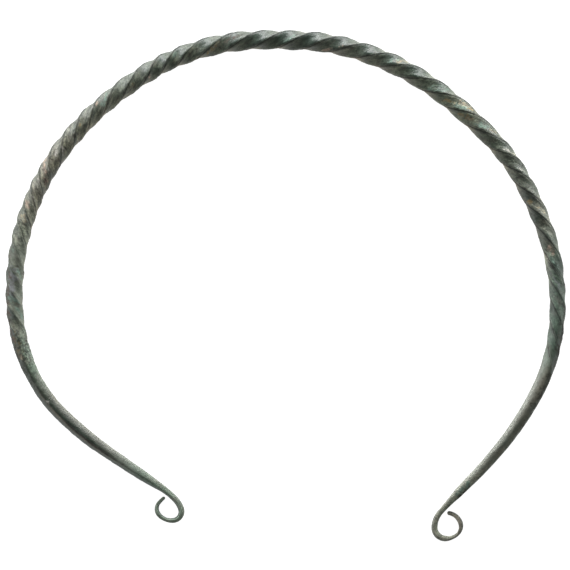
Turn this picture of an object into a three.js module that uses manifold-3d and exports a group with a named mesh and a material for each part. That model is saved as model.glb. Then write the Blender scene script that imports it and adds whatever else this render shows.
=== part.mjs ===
// A twisted bronze neck ring (torc), lying flat.
//
// Millimetres, +Z up. The ring lies on the floor, z = 0, with its crown towards +Y and
// its two ends towards -Y. The origin is under the middle of the ring's outer box.
//
// The shape follows the smith's order of work. A soft-edged square bar is drawn out thin
// at both ends, its middle is twisted, the whole bar is bent to a ring, and each thin end
// is rolled outwards into an open eyelet. Everything is given at distances along the bar,
// measured in millimetres from the tip of the left-hand eyelet.

import * as THREE from 'three';
import Module from 'manifold-3d';
import { mergeVertices } from 'three/addons/utils/BufferGeometryUtils.js';

const bronzePatina = { color: 0x4b5650, roughness: 0.45, metalness: 0.6 };

const barLength = 456.6;
const twistStart = 92;
const twistEnd = 380;

// How the bar is bent. Each pair is [distance, direction]: the way the bar points there,
// in degrees from +X, anticlockwise seen from above. Between two stations the direction
// turns evenly, so that each stretch is a round arc.
const leftEyeletBends = [
  [0, -142.6],
  [2.5, -130.5],
  [6.5, -49.5],
  [11.5, 7.2],
  [16.5, 111.1],
  [20, 134.8],
  [26, 147.3],
];
const hoopBends = [
  [46, 145.3],
  [62, 136.5],
  [74, 122.3],
  [87, 106.0],
  [104, 89.9],
  [158, 48.2],
  [189, 29.4],
  [220, 2.8],
  [238, -4.4],
  [246, -12.2],
  [284, -39.0],
  [302, -45.7],
  [318, -61.2],
  [331, -67.6],
  [365, -96.0],
  [385, -116.6],
  [402, -127.4],
  [420, -135.2],
];
const rightEyeletBends = [
  [433, -131.5],
  [438, -91.7],
  [443, -7.2],
  [447, 36.5],
  [451, 105.2],
  [barLength, 178.2],
];
const bends = [...leftEyeletBends, ...hoopBends, ...rightEyeletBends];

// How thick the bar is. Each pair is [distance, radius over the ridges].
const leftWireRadii = [
  [0, 0.5],
  [3.5, 0.61],
  [6, 0.74],
  [9, 0.64],
  [12.5, 0.83],
  [16, 0.97],
  [22, 1.0],
];
const hoopRadii = [
  [25, 1.15],
  [32, 1.68],
  [40, 1.88],
  [55, 2.2],
  [78, 2.22],
  [90, 2.56],
  [100, 2.77],
  [132, 2.79],
  [150, 2.89],
  [176, 2.99],
  [210, 3.09],
  [240, 3.12],
  [290, 3.06],
  [300, 2.93],
  [316, 2.88],
  [345, 2.69],
  [374, 2.38],
  [390, 2.23],
  [405, 1.99],
  [422, 1.64],
];
const rightWireRadii = [
  [425, 1.52],
  [428.5, 1.14],
  [432, 0.92],
  [441, 1.1],
  [443.5, 0.97],
  [445.5, 0.66],
  [447.5, 0.56],
  [451, 0.84],
  [barLength, 0.7],
];
const radii = [...leftWireRadii, ...hoopRadii, ...rightWireRadii];

// How far the bar is twisted, left-handed. Each pair is [distance, quarter turns]. The
// two end values say how the plain ends are turned, which have no twist of their own.
const twist = [
  [twistStart, -0.85],
  [97, -0.09],
  [123.4, 4.16],
  [144.5, 8.1],
  [173, 12.22],
  [187, 13.96],
  [199, 16.01],
  [220, 18.45],
  [245, 21.52],
  [268, 24.38],
  [291, 27.14],
  [305, 28.56],
  [312, 29.64],
  [334.6, 32.71],
  [346, 33.91],
  [360, 35.92],
  [375.5, 38.15],
  [twistEnd, 38.6],
];

// How square the bar is on the ring's outer side: 0 is round and 1 has flat sides. Each
// pair is [distance, squareness]. On the inner side, against the neck, it is worn rounder
// by the share innerWear.
const squareness = [
  [0, 0.3],
  [60, 0.35],
  [104, 0.4],
  [150, 0.4],
  [190, 0.6],
  [250, 0.58],
  [300, 0.45],
  [345, 0.45],
  [370, 0.28],
  [barLength, 0.3],
];
const innerWear = 0.33;
const ridgeRounding = 0.25;

// How much of the bar's radius is worn off where it touches the floor. The lowest ridges
// end in small flats there, and the ring rests on them.
const restingWear = 0.045;

// The mesh: corners round the bar, and the length of a step in each stretch of it.
const cornersRound = 16;
const steps = [
  { until: 22, length: 0.8 },
  { until: twistStart, length: 3.6 },
  { until: twistEnd, length: 1.75 },
  { until: 430, length: 3.6 },
  { until: barLength, length: 0.8 },
];

/** The value that a table of [distance, value] pairs gives at a distance. */
function valueAt(table, distance) {
  const next = table.findIndex(([station]) => station > distance);
  if (next === 0) return table[0][1];
  if (next < 0) return table[table.length - 1][1];
  const [fromStation, fromValue] = table[next - 1];
  const [toStation, toValue] = table[next];
  return THREE.MathUtils.mapLinear(distance, fromStation, toStation, fromValue, toValue);
}

/** The distances along the bar at which the mesh has a ring of corners. */
function ringStations() {
  const stations = [0];
  let from = 0;
  for (const { until, length } of steps) {
    const count = Math.round((until - from) / length);
    for (let step = 1; step <= count; step += 1) {
      stations.push(from + ((until - from) * step) / count);
    }
    from = until;
  }
  return stations;
}

/** The bar's middle line, walked along its bends from the left-hand tip. */
function bentMiddleLine(stations) {
  const walkStep = 0.1;
  const points = [];
  const walker = new THREE.Vector2(0, 0);
  let walked = 0;
  for (const station of stations) {
    const count = Math.max(1, Math.round((station - walked) / walkStep));
    const stride = (station - walked) / count;
    for (let step = 0; step < count; step += 1) {
      const direction = THREE.MathUtils.degToRad(valueAt(bends, walked + stride / 2));
      walker.x += stride * Math.cos(direction);
      walker.y += stride * Math.sin(direction);
      walked += stride;
    }
    points.push(walker.clone());
  }
  return points;
}

/**
 * How far the bar's surface is from its middle. The angle from the nearest ridge says
 * where on the section that is, and the facing angle is 0 outwards and pi inwards.
 */
function surfaceRadius(distance, angleFromRidge, facing) {
  const rounded = Math.hypot(Math.sin(2 * angleFromRidge), ridgeRounding) - ridgeRounding;
  const towardsSide = rounded / (Math.hypot(1, ridgeRounding) - ridgeRounding);
  const inwards = (1 - Math.cos(facing)) / 2;
  const square = valueAt(squareness, distance) * (1 - innerWear * inwards);
  return valueAt(radii, distance) / Math.sqrt(1 + square * towardsSide);
}

/** The bar as a straight cylinder of rings, each ring then drawn out, twisted and bent. */
function bentBar() {
  const stations = ringStations();
  const middleLine = bentMiddleLine(stations);
  const rings = stations.length - 1;
  const bar = new THREE.CylinderGeometry(1, 1, rings, cornersRound, rings);
  const corners = bar.getAttribute('position');
  for (let index = 0; index < corners.count; index += 1) {
    const ring = Math.round(rings / 2 - corners.getY(index));
    const distance = stations[ring];
    const direction = THREE.MathUtils.degToRad(valueAt(bends, distance));
    const fromRidge = Math.atan2(corners.getZ(index), corners.getX(index));
    const reach = Math.hypot(corners.getX(index), corners.getZ(index));
    const facing = fromRidge - (Math.PI / 2) * valueAt(twist, distance);
    const radius = reach * surfaceRadius(distance, fromRidge, facing);
    const outwards = radius * Math.cos(facing);
    corners.setXYZ(
      index,
      middleLine[ring].x - outwards * Math.sin(direction),
      middleLine[ring].y + outwards * Math.cos(direction),
      (1 - restingWear) * valueAt(radii, distance) + radius * Math.sin(facing),
    );
  }
  return bar;
}

/** A three.js geometry as a manifold-3d solid. */
function toSolid(wasm, geometry) {
  geometry.deleteAttribute('normal');
  geometry.deleteAttribute('uv');
  const merged = mergeVertices(geometry, 1e-5);
  return new wasm.Manifold(new wasm.Mesh({
    numProp: 3,
    vertProperties: merged.getAttribute('position').array,
    triVerts: new Uint32Array(merged.index.array),
  }));
}

/** A manifold-3d solid as a three.js geometry. */
function toGeometry(solid) {
  const mesh = solid.getMesh();
  const geometry = new THREE.BufferGeometry();
  geometry.setAttribute('position', new THREE.BufferAttribute(mesh.vertProperties, 3));
  geometry.setIndex(new THREE.BufferAttribute(mesh.triVerts, 1));
  return geometry;
}

/** Cuts off what lies below the floor, which leaves the small flats. */
function restOnFloor(wasm, geometry) {
  const size = 1000;
  const ground = new THREE.BoxGeometry(size, size, size);
  ground.translate(0, 0, -size / 2);
  return toGeometry(toSolid(wasm, geometry).subtract(toSolid(wasm, ground)));
}

const wasm = await Module();
wasm.setup();

const geometry = restOnFloor(wasm, bentBar());
geometry.computeBoundingBox();
const middle = geometry.boundingBox.getCenter(new THREE.Vector3());
geometry.translate(-middle.x, -middle.y, 0);
geometry.computeVertexNormals();

const torc = new THREE.Mesh(geometry, new THREE.MeshStandardMaterial(bronzePatina));
torc.name = 'torc';

const model = new THREE.Group();
model.add(torc);

export default model;
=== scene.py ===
# A twisted bronze torc, lying flat: one square, twisted bar bent to a ring, with an eyelet
# rolled at each end and an old green-grey patina. Metres, +Z up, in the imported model's frame.

import math

import bpy
import numpy as np
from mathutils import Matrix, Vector, noise


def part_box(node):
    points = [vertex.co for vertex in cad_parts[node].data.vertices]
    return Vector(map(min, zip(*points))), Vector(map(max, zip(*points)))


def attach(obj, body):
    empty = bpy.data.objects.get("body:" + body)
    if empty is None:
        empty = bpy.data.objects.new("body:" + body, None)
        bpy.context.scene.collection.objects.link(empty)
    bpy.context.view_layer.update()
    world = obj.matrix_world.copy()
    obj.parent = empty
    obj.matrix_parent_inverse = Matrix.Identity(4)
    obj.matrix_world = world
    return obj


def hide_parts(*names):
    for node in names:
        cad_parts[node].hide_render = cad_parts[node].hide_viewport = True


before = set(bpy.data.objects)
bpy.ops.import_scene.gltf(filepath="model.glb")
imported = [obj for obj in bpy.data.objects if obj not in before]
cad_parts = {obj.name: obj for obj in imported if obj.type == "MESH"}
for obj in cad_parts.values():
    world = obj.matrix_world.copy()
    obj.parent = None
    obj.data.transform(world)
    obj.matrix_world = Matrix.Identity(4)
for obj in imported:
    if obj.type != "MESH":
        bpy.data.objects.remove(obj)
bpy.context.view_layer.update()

mm = 0.001  # the bar's own sizes below are in millimetres


def valueAt(table, distance, column=1):
    stations = [row[0] for row in table]
    return np.interp(distance, stations, [row[column] for row in table])


def smoothStep(low, high, value):
    t = np.clip((value - low) / (high - low), 0, 1)
    return t * t * (3 - 2 * t)


# The bar, measured along its middle from the tip of the left-hand eyelet.
torcBar = {
    "length": 456.6,
    "bends": [  # [distance, direction the bar points, degrees anticlockwise from +X]
        [0, -142.6], [2.5, -130.5], [6.5, -49.5], [11.5, 7.2], [16.5, 111.1], [20, 134.8],
        [26, 147.3], [46, 145.3], [62, 136.5], [74, 122.3], [87, 106.0], [104, 89.9],
        [158, 48.2], [189, 29.4], [220, 2.8], [238, -4.4], [246, -12.2], [284, -39.0],
        [302, -45.7], [318, -61.2], [331, -67.6], [365, -96.0], [385, -116.6], [402, -127.4],
        [420, -135.2], [433, -131.5], [438, -91.7], [443, -7.2], [447, 36.5], [451, 105.2],
        [456.6, 178.2],
    ],
    "radii": [  # [distance, radius over the ridges]
        [0, 0.5], [3.5, 0.61], [6, 0.74], [9, 0.64], [12.5, 0.83], [16, 0.97], [22, 1.0],
        [25, 1.15], [32, 1.68], [40, 1.88], [55, 2.2], [78, 2.22], [90, 2.56], [100, 2.77],
        [132, 2.79], [150, 2.89], [176, 2.99], [210, 3.09], [240, 3.12], [290, 3.06],
        [300, 2.93], [316, 2.88], [345, 2.69], [374, 2.38], [390, 2.23], [405, 1.99],
        [422, 1.64], [425, 1.52], [428.5, 1.14], [432, 0.92], [441, 1.1], [443.5, 0.97],
        [445.5, 0.66], [447.5, 0.56], [451, 0.84], [456.6, 0.7],
    ],
    "twist": [  # [distance, quarter turns], left-handed
        [92, -0.85], [97, -0.09], [123.4, 4.16], [144.5, 8.1], [173, 12.22], [187, 13.96],
        [199, 16.01], [220, 18.45], [245, 21.52], [268, 24.38], [291, 27.14], [305, 28.56],
        [312, 29.64], [334.6, 32.71], [346, 33.91], [360, 35.92], [375.5, 38.15], [380, 38.6],
    ],
    "quarterTurnLength": 8,  # crusts shorter than this run along the twist
    "squareness": [  # [distance, 0 round to 1 square] on the ring's outer side
        [0, 0.3], [60, 0.35], [104, 0.4], [150, 0.4], [190, 0.6], [250, 0.58], [300, 0.45],
        [345, 0.45], [370, 0.28], [456.6, 0.3],
    ],
    "innerWear": 0.33,  # how much rounder the bar is on the inner side
    "ridgeRounding": [  # [distance, how rounded the ridges are]
        [150, 0.25], [195, 0.14], [340, 0.14], [375, 0.25],
    ],
    "flatness": [  # [distance, how flat the four sides are: 0 cushioned, 1 flat, more is hollow]
        [120, 0.3], [165, 0.5], [195, 1.0], [290, 1.1], [310, 1.4], [345, 1.4], [375, 0],
    ],
    "restingWear": 0.045,  # share of the radius worn off underneath
    "ringsAlong": 2200,
    "cornersRound": 44,
    "crowding": 0.45,  # how much closer together the corners stand on the ridges
    "tipRounding": 0.6,  # how far from each tip the bar starts to round over
    "tipClosing": 0.97,  # how nearly it closes there
}

# The corroded skin of the bar. Sizes and depths are in millimetres.
torcSkin = {
    "ragged": {"size": 0.9, "stretch": 1.3, "octaves": 3, "seed": 1},  # edges of the crusts
    "lumps": {
        "worn": {"size": 3.2, "stretch": 1.5, "octaves": 3, "seed": 2},
        "waver": {"size": 9, "stretch": 1.5, "octaves": 2, "seed": 3},
        "grain": {"size": 0.9, "stretch": 1.6, "octaves": 3, "seed": 4},
    },
    "pits": {"size": 1.4, "share": 0.4, "seed": 5},
    "depths": {"waver": 0.045, "grain": 0.05, "pits": 0.16, "worn": 0.12, "groove": 0.12},
    "wornLumps": [0.0, 0.5],  # ridges wear down where the noise "worn" rises through this
    "pittedLumps": [-0.35, 0.25],  # and pits come in where "waver" does
    "thinWire": [0.3, 2.4],  # [radius with no relief, radius with all of it]
    "leeReach": [0.36, 0.12],  # how far from the ridge the painted line of shade ends and begins
    "leeTurn": [-0.03, 0.12],  # how it comes in on the inner side of the ridge
    "leeShadeStrength": [  # [distance, how dark the painted line of shade is on the inner side of each ridge, and how deep its groove]
        [105, 0], [120, 0.7], [150, 0.8], [175, 0.9], [340, 1], [372, 0.5], [380, 0],
    ],
    "flankHold": [  # [distance, how closely the colours, and the light and shade painted with them, keep to one flank, 0 to 1]
        [0, 0], [84, 0.2], [96, 0.8], [368, 0.8], [380, 0.1], [456.6, 0],
    ],
    "roughened": [  # [distance, how rough and blotchy the skin is]
        [0, 0.6], [30, 0.25], [78, 0.3], [84, 0.9], [92, 0.8], [98, 0.4], [115, 0.4],
        [123, 0.85], [155, 0.9], [195, 0.75], [260, 0.7],
        [345, 0.75], [365, 0.4], [385, 0.2], [410, 0.25], [422, 0.5], [456.6, 0.8],
    ],
    "pitting": [  # [distance, how thickly the pits stand, 0 to 1]
        [0, 0.2], [60, 0.15], [80, 0.4], [84, 1], [92, 1], [95, 0.5], [120, 0.6], [150, 0.8],
        [200, 0.5], [215, 0.35], [300, 0.35], [330, 0.5], [350, 0.15], [456.6, 0.15],
    ],
    "raggedness": 0.55,  # how ragged the edges of the crusts are
    # how ragged the edges of the near-black streaks of painted shade are
    "shadeStreakRaggedness": 0.15,
    "crustEdge": 0.45,  # how softly a crust thins out, as a share of its size
    # How dusty pale, brown and green the patina is; the paleness is also painted light, paler on the
    # flanks that face the light, with a painted highlight along the tails' inner edges. After the
    # distance, each row goes round the bar in even steps from its outer side over the top to its
    # inner side.
    "palenessWithPaintedLight": [
        [14, 0.15, 0.05, 1.1, 1.4, 0.85, 0.75, 0.65],
        [32, 0, 0, 0.8, 0.65, 0.65, 0.85, 0.7],
        [50, 0, 0, 0.75, 0, 0.3, 0.85, 0.8],
        [68, 0, 0, 0.35, 0, 0.2, 0.8, 0.75],
        [80, 0, 0, 0, 0.3, 0.7, 0.9, 0.8],
        [89, 0, 0, 0.15, 0.75, 0.8, 0.55, 0.6],
        [99, 0, 0, 0.05, 0.75, 0.85, 0.55, 0.7],
        [110, 0, 0.05, 0.2, 0.7, 0.5, 0.75, 0.6],
        [123, 0.05, 0.3, 0.9, 1.1, 1, 0.65, 1.1],
        [136, 0.3, 0.4, 0.65, 0.7, 0.7, 0.3, 0.35],
        [148, 0.5, 0.55, 0.8, 0.85, 0.45, 0.25, 0.2],
        [162, 0.3, 0.5, 0.4, 0.5, 0.55, 0.6, 1.1],
        [177, 0.35, 0.5, 0.4, 0.4, 0.55, 0.45, 0.6],
        [192, 0.15, 0.35, 0, 0.5, 0.15, 0.45, 0.95],
        [207, 0.15, 0.3, 0, 0.4, 0.65, 0.15, 0.75],
        [222, 0.25, 0.25, 0, 0.05, 0.25, 0.15, 0.9],
        [237, 0.5, 0.25, 0, 0.05, 0.25, 0.15, 0.6],
        [252, 0.3, 0.15, 0, 0.2, 0.6, 0.5, 1.1],
        [267, 0.75, 0.25, 0, 0.15, 0.6, 0.35, 0.35],
        [280, 0.65, 0.2, 0.05, 0.4, 0.4, 0.45, 0.9],
        [290, 0.2, 0.3, 0.3, 0.65, 0.6, 0.25, 1.1],
        [302, 0.75, 0.25, 0.2, 0.25, 0.25, 0.3, 0.9],
        [317, 0.6, 0.25, 0.25, 0.4, 0.35, 0.45, 0.7],
        [332, 1.4, 0.35, 0.6, 0.45, 0, 0, 0.15],
        [346, 0, 0, 0, 0.8, 0.5, 0.7, 1.4],
        [358, 0.4, 0.4, 0.45, 0.7, 0.4, 0, 0.3],
        [370, 0, 0, 0, 0.4, 0.75, 0.5, 0.7],
        [383, 0, 0, 0.2, 0.95, 1.7, 0.9, 0.9],
        [397, 0.1, 0.15, 0.3, 0.3, 1.25, 1.15, 1.1],
        [411, 0.1, 0.1, 0.7, 0.5, 1.05, 0.85, 0.95],
        [424, 0, 0, 1.1, 2.3, 1.7, 1.5, 1.1],
        [437, 0.5, 0.45, 0.55, 0.95, 0.8, 0.4, 0.4],
        [451, 1.1, 1.3, 2, 1.8, 0.4, 0.15, 0.15],
    ],
    "brownness": [
        [17, 0.2, 0.2, 0.3, 0.3], [40, 0.3, 0.2, 0.2, 0], [50, 0.65, 0.6, 0.3, 0.05],
        [68, 0.8, 0.85, 0.4, 0.15], [80, 0.5, 0.9, 0.25, 0.2], [99, 0.9, 0.5, 0.35, 0.5],
        [115, 0.6, 0.4, 0.4, 0.5], [136, 0.2, 0.4, 0.8, 1.1], [150, 0.15, 0.35, 1.0, 1.2],
        [177, 0.1, 0.25, 0.8, 0.9], [200, 0.15, 0.25, 0.9, 1.05], [237, 0.25, 0.25, 0.6, 1.0],
        [267, 0.3, 0.4, 0.7, 1.0], [290, 0.45, 0.5, 0.85, 1.0], [317, 0.4, 0.35, 0.5, 0.85],
        [332, 0.4, 0.4, 0.7, 1.1], [346, 0.35, 0.35, 0.2, 0.35], [358, 0.2, 0.15, 0.1, 0.2],
        [370, 0.4, 0.4, 0, 0.05], [383, 0.7, 0.85, 0, 0], [411, 0.6, 0.7, 0.1, 0],
        [424, 0.6, 0.5, 0.2, 0.1], [437, 0.75, 0.6, 0.35, 0.4], [451, 0.4, 0.4, 0.5, 0.8],
    ],
    "greenness": [
        [17, 0.9, 1.0, 0.8, 0.7], [32, 0.5, 1.3, 0.9, 0.2], [45, 0, 0.2, 0, 0.1],
        [68, 0, 0, 0, 0.2], [80, 0.3, 0.8, 1.1, 0.4], [89, 0.4, 0.6, 0.8, 0.3],
        [99, 0.1, 0.3, 0.6, 0.6], [123, 0.3, 0.4, 0.6, 0.4], [136, 0, 0.1, 0.2, 0.1],
        [150, 0, 0.1, 0.4, 0.2], [177, 0.2, 0.3, 0.6, 0.35], [200, 0, 0.3, 0.9, 0.15],
        [237, 0, 0.1, 0.55, 0.1], [257, 0, 0.2, 0.6, 0.05], [280, 0.1, 0.7, 0.9, 0.1],
        [290, 0.2, 0.5, 0.8, 0.2],
        [317, 0.4, 0.3, 0.4, 0.15], [332, 0.3, 0.25, 0.1, 0], [346, 0.4, 1.1, 0.8, 0.4],
        [358, 0.9, 1.3, 1.0, 0.1], [370, 0.7, 1.2, 0.9, 0.4], [383, 0.1, 0.1, 0.1, 0.1],
        [411, 0.3, 0.5, 0.2, 0.05], [424, 0, 0.9, 0.3, 0.1], [451, 0.2, 0.2, 0.1, 0.2],
    ],
}

# Crusts and stains, and near-black streaks of painted shade along ridges and the tails' outer sides.
# Facing is in degrees: 0 outwards, 90 up, 180 inwards.
crustPatches = [
    # [kind, distance, facing, length, width, height it stands proud]
    # near-black streaks of painted shade along the left tail's ridge
    ["shadeStreak", 57, 67, 50, 0.9, 0.0],
    ["shadeStreak", 74, 72, 16, 1.0, 0.0],
    ["olive", 85, 30, 24, 3.0, 0.0],
    ["olive", 374, 34, 42, 3.6, 0.0],
    ["olive", 422, 32, 14, 2.2, 0.0],
    # near-black streaks of painted shade on the right tail's outer side
    ["shadeStreak", 371, 28, 28, 1.8, 0.0],
    ["shadeStreak", 424, 24, 12, 1.0, 0.0],
    ["pitted", 88.3, 62, 9.5, 2.6, -0.08],
    ["beige", 84.2, 68, 1.5, 1.1, 0.05],
    ["ochre", 92.6, 70, 2.4, 0.8, 0.04],
    ["slate", 107, 78, 11, 3.2, 0.0],
    ["rust", 97, 28, 22, 2.4, 0.0],
    ["rust", 103, 40, 12, 1.5, 0.0],
    ["paleGreen", 98, 125, 5, 1.6, 0.03],
    ["paleGreen", 102, 90, 3.2, 4.5, 0.04],
    ["paleGreen", 109.5, 135, 4.5, 1.3, 0.03],
    ["paleGreen", 117, 60, 1.6, 1.2, 0.04],
    ["rust", 110, 40, 6, 0.9, 0.0],
    ["beige", 127.4, 68, 2.8, 2.4, 0.05],
    ["white", 133.6, 93, 1.5, 0.9, 0.06],
    ["pink", 131, 70, 3, 2.2, 0.03],
    ["white", 139.2, 75, 2.6, 0.9, 0.07],
    ["pink", 143.6, 60, 6.4, 2.4, 0.07],
    ["white", 143.8, 96, 1.5, 0.7, 0.05],
    ["rust", 141.5, 100, 5, 2.4, 0.02],
    ["white", 149, 80, 3.6, 0.8, 0.05],
    ["white", 151.3, 94, 2.8, 0.9, 0.07],
    ["ochre", 160.3, 84, 1.0, 0.8, 0.04],
    ["white", 166.6, 60, 2.2, 0.8, 0.04],
    ["pink", 168.6, 52, 1.6, 0.8, 0.02],
    ["ochre", 180.5, 106, 2.2, 1.0, 0.03],
    ["pink", 186.2, 128, 1.4, 0.8, 0.03],
    ["white", 190.8, 68, 0.9, 0.5, 0.03],
    ["paleGreen", 196, 72, 2.6, 1.0, 0.03],
    ["white", 208.2, 100, 1.2, 0.6, 0.06],
    ["ochre", 207.6, 112, 4.6, 1.9, 0.04],
    ["rust", 213.8, 66, 4.6, 1.8, 0.03],
    ["olive", 216.4, 52, 4.5, 1.6, 0.03],
    ["pink", 243.5, 136, 7, 0.8, 0.03],
    ["beige", 266.2, 48, 3.4, 1.8, 0.05],
    ["paleGreen", 171, 72, 5, 1.8, 0.02],
    ["paleGreen", 232, 74, 4, 1.2, 0.0],
    ["paleGreen", 263.5, 70, 4, 1.6, 0.0],
    ["paleGreen", 280.2, 75, 6, 2.4, 0.02],
    ["ochre", 284.5, 106, 4, 1.6, 0.02],
    ["beige", 288.6, 52, 5.2, 2.4, 0.06],
    ["ochre", 291.6, 44, 7, 1.6, 0.05],
    ["paleGreen", 288.6, 84, 5.4, 1.6, 0.02],
    ["ochre", 291.4, 112, 6, 2.2, 0.05],
    ["beige", 293.4, 104, 2.2, 1.2, 0.06],
    ["paleGreen", 296.8, 80, 5.2, 2.2, 0.02],
    ["beige", 301.4, 42, 4, 1.2, 0.04],
    # a painted highlight: this white spot paints a glint
    ["white", 308, 66, 2.2, 0.8, 0.04],
    ["beige", 309.6, 45, 2.4, 1.0, 0.03],
    ["white", 315.2, 58, 3, 0.8, 0.03],
    ["ochre", 325.2, 118, 2.4, 1.8, 0.03],
    ["beige", 329, 58, 5.2, 1.0, 0.03],
    ["pink", 341, 95, 3.8, 1.6, 0.02],
    # a near-black streak of painted shade
    ["shadeStreak", 346.3, 112, 5, 1.2, 0.0],
    ["slate", 351, 98, 5.5, 1.2, 0.02],
    ["paleGreen", 345.2, 86, 3.6, 1.8, 0.02],
    ["rust", 372, 128, 3.4, 0.8, 0.0],
    ["white", 68.6, 79, 1.3, 0.8, 0.07],
    ["white", 416.6, 94, 0.9, 0.7, 0.06],
    ["paleGreen", 422.5, 88, 7, 1.6, 0.02],
]


def bentMiddle(bar, stations):
    # The middle line is walked in fine steps, each in the direction the bends give there.
    stride = 0.05
    walk = np.arange(0, bar["length"] + stride, stride)
    heading = np.radians(valueAt(bar["bends"], walk))
    halfway = (heading[1:] + heading[:-1]) / 2
    x = np.concatenate([[0], np.cumsum(stride * np.cos(halfway))])
    y = np.concatenate([[0], np.cumsum(stride * np.sin(halfway))])
    return np.interp(stations, walk, x), np.interp(stations, walk, y)


seedShift = 31.7  # how far apart in the noise two seeds lie


def lumps(places, size, stretch, octaves, seed):
    # Noise from about -1 to 1, its lumps "size" across and drawn out along the bar.
    fineness, finerBy, strength = 0.7, 2.0, 1.6
    spots = places.reshape(-1, 3) / (size * stretch, size, size) + seedShift * seed
    heights = [noise.fractal(Vector(spot), fineness, finerBy, octaves) for spot in spots]
    return np.array(heights).reshape(places.shape[:-1]) * strength


def roundPits(places, size, share, seed):
    # 1 in the middle of a pit and 0 between pits, one pit in a share of the cells.
    pitReach, flatBottom = 0.5, 0.6
    cellDraw = (127.1, 311.7, 74.7)
    spots = places.reshape(-1, 3) / size + seedShift * seed
    depths = np.empty(len(spots))
    for index, spot in enumerate(spots):
        distances, centres = noise.voronoi(Vector(spot))
        chosen = (math.sin(centres[0].dot(cellDraw)) + 1) / 2 < share
        depths[index] = chosen * (1 - distances[0] / pitReach)
    return smoothStep(0, flatBottom, depths).reshape(places.shape[:-1])


def bySide(table, along, facing):
    # A share from a table whose columns stand evenly round the bar, outer side to inner.
    columns = len(table[0]) - 1
    turned = np.abs((facing + math.pi) % (2 * math.pi) - math.pi) / math.pi * (columns - 1)
    share = np.zeros_like(along)
    for column in range(columns):
        share += np.clip(1 - np.abs(turned - column), 0, 1) * valueAt(table, along, column + 1)
    return share


def crustCover(bar, skin, patches, along, facing, radius, ragged):
    # How fully each kind of crust, and each painted shade streak, covers each point, and how high
    # the crusts stand. The small ones run along the twisted flank they are on, and the long ones
    # keep to a side.
    cover, height = {}, np.zeros_like(along)
    quarterTurns = valueAt(bar["twist"], along)
    for kind, distance, degrees, length, width, proud in patches:
        turn = facing - math.radians(degrees)
        if length < bar["quarterTurnLength"]:
            turn = turn + math.pi / 2 * (quarterTurns - valueAt(bar["twist"], distance))
        turn = (turn + math.pi) % (2 * math.pi) - math.pi
        away = np.hypot((along - distance) / (length / 2), turn * radius / (width / 2))
        raggedness = skin["shadeStreakRaggedness"] if kind == "shadeStreak" else skin["raggedness"]
        patch = smoothStep(0, skin["crustEdge"], 1 - away + raggedness * ragged)
        cover[kind] = np.maximum(cover.get(kind, 0), patch)
        height += proud * patch
    return cover, height


def sectionShape(bar, along, facing, towardsSide, fromMidFlank):
    # The bar's section as a share of its radius over the ridges. Its four sides go from
    # cushioned to flat, and a flatness over 1 makes them a little hollow.
    inwards = (1 - np.cos(facing)) / 2
    square = valueAt(bar["squareness"], along) * (1 - bar["innerWear"] * inwards)
    cushioned = 1 / np.sqrt(1 + square * towardsSide)
    power = 1 / (0.5 - 0.5 * np.log2(1 + square))
    flat = np.abs(np.cos(fromMidFlank)) ** power + np.abs(np.sin(fromMidFlank)) ** power
    flat = flat ** (-1 / power) / np.sqrt(1 + square)
    return cushioned + valueAt(bar["flatness"], along) * (flat - cushioned)


def weather(skin, along, around, facing, towardsSide, barPlace, crust):
    # The relief of the skin in millimetres, and the shares of ridge, painted lee shade and pits.
    noises = {name: lumps(barPlace, **lump) for name, lump in skin["lumps"].items()}
    ridge = (1 - towardsSide) ** 3
    innerSide = np.sin(4 * around) * np.clip(3 * np.sin(facing), -1, 1)
    # a near-black line of painted shade, over a shallow groove, on the inner side of each ridge
    lee = smoothStep(*skin["leeReach"], towardsSide) * smoothStep(*skin["leeTurn"], innerSide)
    lee *= valueAt(skin["leeShadeStrength"], along)
    worn = smoothStep(*skin["wornLumps"], noises["worn"])
    pitting = valueAt(skin["pitting"], along)
    pits = roundPits(barPlace, **skin["pits"])
    pits *= pitting * smoothStep(*skin["pittedLumps"], noises["waver"])
    depths = skin["depths"]
    relief = (
        depths["waver"] * noises["waver"]
        + depths["grain"] * noises["grain"] * (0.5 + pitting)
        - depths["pits"] * pits
        - depths["worn"] * ridge * worn
        - depths["groove"] * lee
        + crust
    )
    return relief, {"ridge": ridge, "lee": lee, "pits": pits}


def bendToRing(bar, along, facing, ridgeRadius, radius):
    # Every point of the straight bar, moved to its place on the ring, in metres.
    heading = np.radians(valueAt(bar["bends"], along))
    middleX, middleY = bentMiddle(bar, along)
    outwards = radius * np.cos(facing)
    x = middleX - outwards * np.sin(heading)
    y = middleY + outwards * np.cos(heading)
    z = (1 - bar["restingWear"]) * ridgeRadius + radius * np.sin(facing)
    return np.stack([x, y, z], axis=-1).reshape(-1, 3) * mm


def fitToSolid(points, low, high):
    # Into the middle of the solid's own box, and worn flat where the ring rests.
    middle = (points.min(axis=0) + points.max(axis=0)) / 2
    points[:, :2] += ((low + high) / 2 - middle)[:2]
    return np.clip(points, low, high)


def barFaces(rings, corners):
    # Faces between neighbouring rings of corners, and a cap on each tip.
    ring = np.arange(corners)
    nextCorner = (ring + 1) % corners
    faces = []
    for step in range(rings - 1):
        first, second = step * corners, (step + 1) * corners
        faces += zip(first + ring, first + nextCorner, second + nextCorner, second + ring)
    faces += [ring[::-1], (rings - 1) * corners + ring]
    return [tuple(int(corner) for corner in face) for face in faces]


def addShares(mesh, name, shares):
    layer = mesh.attributes.new(name, "FLOAT", "POINT")
    layer.data.foreach_set("value", shares.astype(np.float32).ravel())


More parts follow.
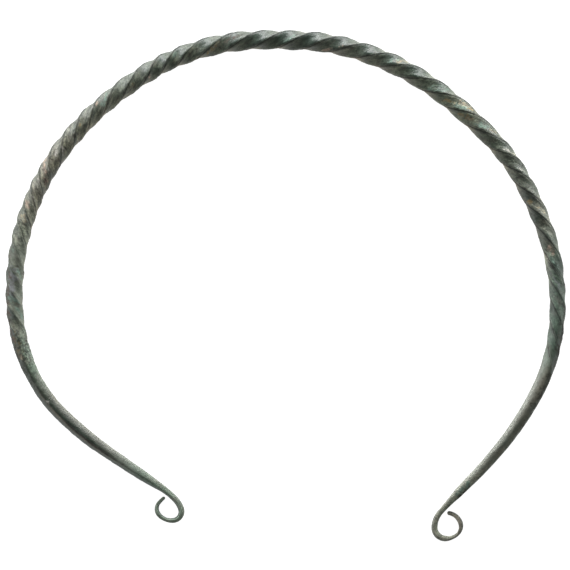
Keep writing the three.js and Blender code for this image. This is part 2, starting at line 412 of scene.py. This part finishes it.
def makeTorc(bar, skin, patches):
    rings, corners = bar["ringsAlong"], bar["cornersRound"]
    stations = np.linspace(0, bar["length"], rings)
    evenly = np.arange(corners) * 2 * math.pi / corners
    fromRidge = evenly - bar["crowding"] * np.sin(4 * evenly) / 4
    along, around = np.meshgrid(stations, fromRidge, indexing="ij")

    # the bare bar: which way each corner faces (0 outwards, a quarter turn up), where it
    # stands between ridge and flank, and how far out
    facing = around - math.pi / 2 * valueAt(bar["twist"], along)
    soft = valueAt(bar["ridgeRounding"], along)
    towardsSide = (np.hypot(np.sin(2 * around), soft) - soft) / (np.hypot(1, soft) - soft)
    fromMidFlank = around % (math.pi / 2) - math.pi / 4
    ridgeRadius = valueAt(bar["radii"], along)
    radius = ridgeRadius * sectionShape(bar, along, facing, towardsSide, fromMidFlank)
    barPlace = np.stack([along, radius * np.cos(around), radius * np.sin(around)], axis=-1)

    # its skin
    ragged = lumps(barPlace, **skin["ragged"])
    crusts, crust = crustCover(bar, skin, patches, along, facing, radius, ragged)
    relief, wearAndShade = weather(skin, along, around, facing, towardsSide, barPlace, crust)
    radius += smoothStep(*skin["thinWire"], ridgeRadius) * relief

    # both tips rounded over
    fromTip = np.minimum(along, bar["length"] - along) / bar["tipRounding"]
    radius *= np.sqrt(np.clip(1 - np.clip(1 - fromTip, 0, bar["tipClosing"]) ** 2, 0, 1))

    points = bendToRing(bar, along, facing, ridgeRadius, radius)
    points = fitToSolid(points, *(np.array(corner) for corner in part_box("torc")))
    mesh = bpy.data.meshes.new("torcBronze")
    mesh.from_pydata([tuple(point) for point in points], [], barFaces(rings, corners))
    mesh.shade_smooth()

    # what the patina reads: where each point is on the bar, and how it is weathered there.
    # The colours go by the way a whole flank faces, so that they change at the ridges, as painted
    # light and shade on each flank.
    place = mesh.attributes.new("barPlace", "FLOAT_VECTOR", "POINT")
    place.data.foreach_set("vector", barPlace.astype(np.float32).ravel())
    flankFacing = facing - valueAt(skin["flankHold"], along) * fromMidFlank
    for name in ("palenessWithPaintedLight", "brownness", "greenness"):
        addShares(mesh, name, bySide(skin[name], along, flankFacing))
    addShares(mesh, "roughened", valueAt(skin["roughened"], along))
    for name, shares in {**wearAndShade, **crusts}.items():
        addShares(mesh, name, shares)

    piece = bpy.data.objects.new("torcBronze", mesh)
    bpy.context.scene.collection.objects.link(piece)
    print("torc:", len(mesh.vertices), "vertices,", len(mesh.polygons), "faces")
    return piece


# The colours of the patina, linear, and how it is broken up. Sizes are in millimetres.
bronzePatina = {
    "dark": (0.011, 0.0235, 0.017, 1),
    "pale": (0.205, 0.207, 0.183, 1),
    "brownTint": (1.2, 1.0, 0.78, 1),
    "greenTint": (0.72, 1.02, 0.9, 1),
    "ridge": (0.075, 0.085, 0.07, 1),
    "pits": (0.03, 0.025, 0.016, 1),
    # painted shade: the near-black line in the lee of each ridge
    "leeShade": (0.003, 0.005, 0.004, 1),
    "crusts": {  # [colour, size of its speckle, how drawn out along the bar it is]
        # painted shade: near-black streaks along ridges and the tails' outer sides
        "shadeStreak": [(0.006, 0.005, 0.004, 1), 3.0, 6],
        "olive": [(0.02, 0.021, 0.013, 1), 3.0, 1],
        "pitted": [(0.08, 0.066, 0.03, 1), 0.8, 1],
        "slate": [(0.135, 0.14, 0.15, 1), 3.0, 1],
        "rust": [(0.05, 0.032, 0.024, 1), 1.6, 1],
        "ochre": [(0.17, 0.125, 0.055, 1), 0.9, 1],
        "beige": [(0.25, 0.215, 0.145, 1), 0.9, 1],
        "pink": [(0.32, 0.245, 0.19, 1), 1.1, 1],
        "paleGreen": [(0.115, 0.175, 0.14, 1), 1.6, 1],
        # white deposits, and at 308 mm a painted glint
        "white": [(0.36, 0.345, 0.31, 1), 0.7, 1],
    },
    "roughness": [0.42, 0.62],  # [where dark, where pale]
    "crustRoughness": 0.85,
    "crustStrength": 0.8,
    "rubbedStrength": 0.5,
    "filmEdges": [0.6, 2.4],  # the sum of its three clouds that is [thinnest, thickest]
    "filmShares": [0.12, 1.55],  # how much film there is [where thinnest, where thickest]
    "evenFilm": 0.83,  # the same where the skin is smooth
    "paleFilm": 0.6,  # the share of film from which it is as rough as where pale
    "mottleShades": [0.36, 1.68],  # [darkest, palest]
    "clouds": {
        "blotches": {"size": 2.2, "low": 0.25, "high": 0.75, "stretch": 1.6, "detail": 5, "seed": 1},
        "streaks": {"size": 0.8, "low": 0.25, "high": 0.75, "stretch": 4.0, "detail": 3, "seed": 2},
        "specks": {"size": 0.35, "low": 0.3, "high": 0.7, "detail": 2, "seed": 3},
        "brown": {"size": 3.0, "low": 0.1, "high": 0.55, "stretch": 2, "seed": 4},
        "green": {"size": 2.4, "low": 0.2, "high": 0.55, "stretch": 2, "seed": 5},
        "rubbed": {"size": 1.6, "low": 0.4, "high": 0.7, "stretch": 3, "seed": 6},
        "mottle": {"size": 0.9, "low": 0.3, "high": 0.7, "stretch": 1.5, "detail": 5,
                   "roughness": 0.7, "seed": 20},
        # breaks up the painted line of shade in the lee of each ridge
        "leeShade": {"size": 1.2, "low": 0.1, "high": 0.42, "stretch": 4, "seed": 21},
    },
    "speckle": {"low": 0.36, "high": 0.56, "detail": 3},
    "firstSpeckleSeed": 7,
    "bump": {"Scale": 1.4, "Detail": 3, "Roughness": 0.4},
    "bumpHeight": 0.16,  # how high the finest grain stands
}


def addNode(tree, kind, inputs=None, **settings):
    node = tree.nodes.new("ShaderNode" + kind)
    for name, value in settings.items():
        setattr(node, name, value)
    for socket, value in (inputs or {}).items():
        if isinstance(value, bpy.types.NodeSocket):
            tree.links.new(value, node.inputs[socket])
        else:
            node.inputs[socket].default_value = value
    return node


def readShare(tree, name):
    return addNode(tree, "Attribute", attribute_name=name).outputs["Fac"]


def combine(tree, operation, first, second):
    return addNode(tree, "Math", {0: first, 1: second}, operation=operation).outputs[0]


def remap(tree, value, edges, shares):
    return addNode(
        tree, "MapRange", {"Value": value, "From Min": edges[0], "From Max": edges[1],
                           "To Min": shares[0], "To Max": shares[1]}).outputs[0]


def noiseShare(tree, place, size, low, high, seed, stretch=1.0, detail=4, roughness=0.6):
    # A share from 0 to 1 that follows noise with lumps of the given size.
    seedAlong, seedAcross = 13.1, 7.7  # how far apart in the noise two seeds lie
    scaled = addNode(
        tree, "Mapping", {"Vector": place, "Location": (seed * seedAlong, seed * seedAcross, 0),
                          "Scale": (1 / (size * stretch), 1 / size, 1 / size)})
    cloud = addNode(
        tree, "TexNoise",
        {"Vector": scaled.outputs[0], "Scale": 1.0, "Detail": detail, "Roughness": roughness})
    ramp = addNode(
        tree, "MapRange", {"Value": cloud.outputs["Fac"], "From Min": low, "From Max": high},
        interpolation_type="SMOOTHSTEP")
    return ramp.outputs[0]


def layOver(tree, share, under, over, blend="MIX"):
    mix = addNode(tree, "Mix", {0: share, 6: under, 7: over}, data_type="RGBA", blend_type=blend)
    return mix.outputs[2]


def makePatina(look):
    material = bpy.data.materials.new("darkBronzePatina")
    material.use_nodes = True
    tree = material.node_tree
    shader = tree.nodes["Principled BSDF"]
    place = addNode(tree, "Attribute", attribute_name="barPlace").outputs["Vector"]

    def cloud(name):
        return noiseShare(tree, place, **look["clouds"][name])

    def patchy(name, cloudName):
        return combine(tree, "MULTIPLY", readShare(tree, name), cloud(cloudName))

    # dark bronze under a dusty film, partly painted light and shade by side, which is broken up in
    # blotches, streaks and fine specks
    breakUp = combine(tree, "ADD", cloud("blotches"), cloud("streaks"))
    breakUp = combine(tree, "ADD", breakUp, cloud("specks"))
    breakUp = remap(tree, breakUp, look["filmEdges"], look["filmShares"])
    roughened = readShare(tree, "roughened")
    breakUp = addNode(tree, "Mix", {0: roughened, 2: look["evenFilm"], 3: breakUp}).outputs[0]
    # the film is dust, and also painted light: paler on lit flanks and along the tails' inner edges
    filmWithPaintedLight = combine(tree, "MULTIPLY", readShare(tree, "palenessWithPaintedLight"), breakUp)
    colour = layOver(tree, filmWithPaintedLight, look["dark"], look["pale"])

    # browner on the inner side, greener on top
    colour = layOver(tree, patchy("brownness", "brown"), colour, look["brownTint"], "MULTIPLY")
    colour = layOver(tree, patchy("greenness", "green"), colour, look["greenTint"], "MULTIPLY")

    # handled ridges and dirty pits
    rubbed = combine(tree, "MULTIPLY", patchy("ridge", "rubbed"), look["rubbedStrength"])
    colour = layOver(tree, rubbed, colour, look["ridge"])
    colour = layOver(tree, readShare(tree, "pits"), colour, look["pits"])

    # crusts and the painted shade streaks, each speckled with what lies under it
    covered = []
    for number, (kind, (crustColour, size, stretch)) in enumerate(look["crusts"].items()):
        speckle = noiseShare(
            tree, place, size=size, stretch=stretch, seed=look["firstSpeckleSeed"] + number,
            **look["speckle"])
        share = combine(tree, "MULTIPLY", readShare(tree, kind), speckle)
        share = combine(tree, "MULTIPLY", share, look["crustStrength"])
        colour = layOver(tree, share, colour, crustColour)
        covered.append(share)

    # mottled all over, and a near-black line of painted shade in the lee of each ridge
    mottle = remap(tree, cloud("mottle"), (0, 1), look["mottleShades"])
    colour = layOver(tree, roughened, colour, mottle, "MULTIPLY")
    leeShade = patchy("lee", "leeShade")
    covered.append(leeShade)
    colour = layOver(tree, leeShade, colour, look["leeShade"])
    tree.links.new(colour, shader.inputs["Base Color"])

    # crusts, the painted shade streaks and the painted lee shade are rougher than the film
    dull = covered[0]
    for share in covered[1:]:
        dull = combine(tree, "MAXIMUM", dull, share)
    roughness = remap(tree, filmWithPaintedLight, (0, look["paleFilm"]), look["roughness"])
    roughness = addNode(tree, "Mix", {0: dull, 2: roughness, 3: look["crustRoughness"]})
    tree.links.new(roughness.outputs[0], shader.inputs["Roughness"])

    fine = addNode(tree, "TexNoise", {"Vector": place, **look["bump"]})
    bump = addNode(
        tree, "Bump", {"Strength": roughened, "Distance": look["bumpHeight"] * mm,
                       "Height": fine.outputs["Fac"]})
    tree.links.new(bump.outputs[0], shader.inputs["Normal"])
    print("patina:", len(tree.nodes), "nodes")
    return material


studio = {
    "floorSize": 8.0,
    "floorGrey": (0.4, 0.4, 0.4, 1),
    "floorRoughness": 0.9,
    "floorGlow": 0.95,
    "softboxes": [  # [name, place, size, power], all aimed at the middle of the ring
        ["keySoftbox", (0, 0.6, 0.1), (1.8, 0.22), 21],
        ["leftSoftbox", (-1.0, 0.1, 0.25), (1.2, 0.4), 6],
        ["rightSoftbox", (1.0, 0.1, 0.25), (1.2, 0.4), 3.5],
    ],
    "viewWidth": 0.17396,  # how wide a strip of the floor the camera takes in
    "viewCentre": (-0.00018, 0.00026),
    "viewLevel": 0.0029,  # the height at which the strip is as wide as that
    "lens": 300,
    "sensor": 36,
    "airLow": 0.45,  # brightness of the air near the floor and overhead
    "airHigh": 0.12,
    "airEdges": [0.2, 0.9],  # how far up those are, from 0 level to 1 overhead
}


def makeFloor(settings):
    bpy.ops.mesh.primitive_plane_add(size=settings["floorSize"])
    floor = bpy.context.object
    floor.name = "studioFloor"
    material = bpy.data.materials.new("paleFloor")
    material.use_nodes = True
    shader = material.node_tree.nodes["Principled BSDF"]
    shader.inputs["Base Color"].default_value = settings["floorGrey"]
    shader.inputs["Roughness"].default_value = settings["floorRoughness"]
    shader.inputs["Emission Color"].default_value = (1, 1, 1, 1)
    shader.inputs["Emission Strength"].default_value = settings["floorGlow"]
    floor.data.materials.append(material)


def makeSoftbox(name, place, size, power):
    light = bpy.data.lights.new(name, "AREA")
    light.shape = "RECTANGLE"
    light.size, light.size_y = size
    light.energy = power
    softbox = bpy.data.objects.new(name, light)
    softbox.location = place
    softbox.rotation_euler = (-Vector(place)).to_track_quat("-Z", "Y").to_euler()
    softbox.visible_camera = False
    bpy.context.scene.collection.objects.link(softbox)


def makeAir(settings):
    world = bpy.data.worlds.new("studioAir")
    world.use_nodes = True
    tree = world.node_tree
    direction = addNode(tree, "TexCoord").outputs["Generated"]
    height = addNode(tree, "SeparateXYZ", {0: direction}).outputs["Z"]
    shade = remap(tree, height, settings["airEdges"], (settings["airLow"], settings["airHigh"]))
    tree.links.new(shade, tree.nodes["Background"].inputs["Color"])
    bpy.context.scene.world = world


def makeStudio(settings):
    makeFloor(settings)
    for softbox in settings["softboxes"]:
        makeSoftbox(*softbox)
    makeAir(settings)
    bpy.context.scene.view_settings.view_transform = "Standard"


def makeCamera(settings):
    camera = bpy.data.cameras.new("camera")
    camera.lens = settings["lens"]
    camera.sensor_width = settings["sensor"]
    holder = bpy.data.objects.new("camera", camera)
    height = settings["viewWidth"] * settings["lens"] / settings["sensor"]
    holder.location = (*settings["viewCentre"], height + settings["viewLevel"])
    bpy.context.scene.collection.objects.link(holder)
    bpy.context.scene.camera = holder


makeCamera(studio)
makeStudio(studio)
print("studio ready")

torc = makeTorc(torcBar, torcSkin, crustPatches)
torc.data.materials.append(makePatina(bronzePatina))
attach(torc, "root")
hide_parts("torc")

print("sizes written")
